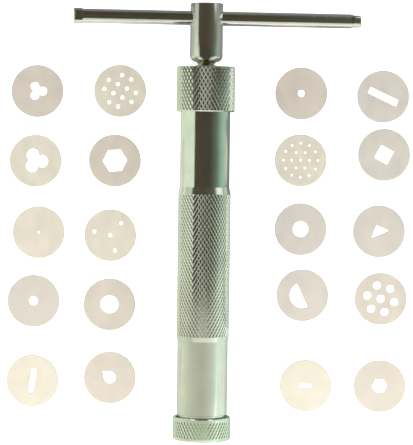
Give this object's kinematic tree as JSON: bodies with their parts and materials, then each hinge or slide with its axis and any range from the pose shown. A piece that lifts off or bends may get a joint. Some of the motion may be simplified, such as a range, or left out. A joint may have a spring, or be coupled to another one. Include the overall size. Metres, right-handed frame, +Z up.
{
  "type": "cookie press",
  "caption": "Hand cookie press: knurled steel barrel with a screw-driven piston, sliding T-bar handle, screw-on cap and retaining ring, and loose round dies laid out beside it.",
  "frame": {"origin": "on the table under the middle of the whole set, dies included; the press axis is 1 mm to its left, with the middle of the press's length beside it", "axes": "+Y along the press from the outlet to the handle, +Z up from the table, +X to the right of the press seen from above"},
  "size_m": [0.1706, 0.1832, 0.0244],
  "materials": {
    "plated_steel": "turned, nickel plated and polished, with diamond knurling",
    "screw_steel": "cut screw with yellow passivated zinc plate",
    "piston_steel": "turned, satin",
    "die_steel": "blanked sheet, satin, with a slight warm tint",
    "seal_rubber": "smooth moulded"
  },
  "bodies": {
    "barrel": {"barrel": "plated_steel"},
    "ring": {"bottom_ring": "plated_steel"},
    "cap": {"top_cap": "plated_steel"},
    "piston": {"piston": "piston_steel", "piston_seal": "seal_rubber"},
    "spindle": {"spindle": "screw_steel", "handle_boss": "plated_steel", "thrust_washer": "screw_steel", "piston_screw": "screw_steel"},
    "bar": {"tommy_bar": "plated_steel"},
    "die_trefoil_small": {"disc_trefoil_small": "die_steel"},
    "die_trefoil_large": {"disc_trefoil_large": "die_steel"},
    "die_pin_hole": {"disc_pin_hole": "die_steel"},
    "die_round_medium": {"disc_round_medium": "die_steel"},
    "die_slot_long": {"disc_slot_long": "die_steel"},
    "die_twelve_hole": {"disc_twelve_hole": "die_steel"},
    "die_hexagon_large": {"disc_hexagon_large": "die_steel"},
    "die_four_hole": {"disc_four_hole": "die_steel"},
    "die_round_extra_large": {"disc_round_extra_large": "die_steel"},
    "die_teardrop": {"disc_teardrop": "die_steel"},
    "die_round_small": {"disc_round_small": "die_steel"},
    "die_nineteen_hole": {"disc_nineteen_hole": "die_steel"},
    "die_round_large": {"disc_round_large": "die_steel"},
    "die_half_moon": {"disc_half_moon": "die_steel"},
    "die_slot_short": {"disc_slot_short": "die_steel"},
    "die_ribbon": {"disc_ribbon": "die_steel"},
    "die_square": {"disc_square": "die_steel"},
    "die_triangle": {"disc_triangle": "die_steel"},
    "die_seven_hole": {"disc_seven_hole": "die_steel"},
    "die_hexagon_small": {"disc_hexagon_small": "die_steel"}
  },
  "joints": [
    {"name": "cap_off", "type": "slide", "parent": "barrel", "child": "cap", "axis": [0, 1, 0], "range_m": [0, 0.025]},
    {"name": "piston_travel", "type": "slide", "parent": "cap", "child": "piston", "axis": [0, 1, 0], "range_m": [0, 0.1381]},
    {"name": "spindle_turn", "type": "hinge", "parent": "piston", "child": "spindle", "pos_m": [-0.001, 0, 0.0122], "axis": [0, 1, 0], "range_deg": [0, 16560]},
    {"name": "bar_slide", "type": "slide", "parent": "spindle", "child": "bar", "axis": [0.9907, 0, -0.1362], "range_m": [-0.0537, 0.044]},
    {"name": "ring_off", "type": "slide", "parent": "barrel", "child": "ring", "axis": [0, -1, 0], "range_m": [0, 0.015]},
    {"name": "take_trefoil_small", "type": "slide", "parent": "barrel", "child": "die_trefoil_small", "axis": [0, 0, 1], "range_m": [0, 0.03]},
    {"name": "take_trefoil_large", "type": "slide", "parent": "barrel", "child": "die_trefoil_large", "axis": [0, 0, 1], "range_m": [0, 0.03]},
    {"name": "take_pin_hole", "type": "slide", "parent": "barrel", "child": "die_pin_hole", "axis": [0, 0, 1], "range_m": [0, 0.03]},
    {"name": "take_round_medium", "type": "slide", "parent": "barrel", "child": "die_round_medium", "axis": [0, 0, 1], "range_m": [0, 0.03]},
    {"name": "take_slot_long", "type": "slide", "parent": "barrel", "child": "die_slot_long", "axis": [0, 0, 1], "range_m": [0, 0.03]},
    {"name": "take_twelve_hole", "type": "slide", "parent": "barrel", "child": "die_twelve_hole", "axis": [0, 0, 1], "range_m": [0, 0.03]},
    {"name": "take_hexagon_large", "type": "slide", "parent": "barrel", "child": "die_hexagon_large", "axis": [0, 0, 1], "range_m": [0, 0.03]},
    {"name": "take_four_hole", "type": "slide", "parent": "barrel", "child": "die_four_hole", "axis": [0, 0, 1], "range_m": [0, 0.03]},
    {"name": "take_round_extra_large", "type": "slide", "parent": "barrel", "child": "die_round_extra_large", "axis": [0, 0, 1], "range_m": [0, 0.03]},
    {"name": "take_teardrop", "type": "slide", "parent": "barrel", "child": "die_teardrop", "axis": [0, 0, 1], "range_m": [0, 0.03]},
    {"name": "take_round_small", "type": "slide", "parent": "barrel", "child": "die_round_small", "axis": [0, 0, 1], "range_m": [0, 0.03]},
    {"name": "take_nineteen_hole", "type": "slide", "parent": "barrel", "child": "die_nineteen_hole", "axis": [0, 0, 1], "range_m": [0, 0.03]},
    {"name": "take_round_large", "type": "slide", "parent": "barrel", "child": "die_round_large", "axis": [0, 0, 1], "range_m": [0, 0.03]},
    {"name": "take_half_moon", "type": "slide", "parent": "barrel", "child": "die_half_moon", "axis": [0, 0, 1], "range_m": [0, 0.03]},
    {"name": "take_slot_short", "type": "slide", "parent": "barrel", "child": "die_slot_short", "axis": [0, 0, 1], "range_m": [0, 0.03]},
    {"name": "take_ribbon", "type": "slide", "parent": "barrel", "child": "die_ribbon", "axis": [0, 0, 1], "range_m": [0, 0.03]},
    {"name": "take_square", "type": "slide", "parent": "barrel", "child": "die_square", "axis": [0, 0, 1], "range_m": [0, 0.03]},
    {"name": "take_triangle", "type": "slide", "parent": "barrel", "child": "die_triangle", "axis": [0, 0, 1], "range_m": [0, 0.03]},
    {"name": "take_seven_hole", "type": "slide", "parent": "barrel", "child": "die_seven_hole", "axis": [0, 0, 1], "range_m": [0, 0.03]},
    {"name": "take_hexagon_small", "type": "slide", "parent": "barrel", "child": "die_hexagon_small", "axis": [0, 0, 1], "range_m": [0, 0.03]}
  ],
  "couplings": [
    {"joint": "piston_travel", "follows": "spindle_turn", "m_per_rad": 0.00047746}
  ]
}
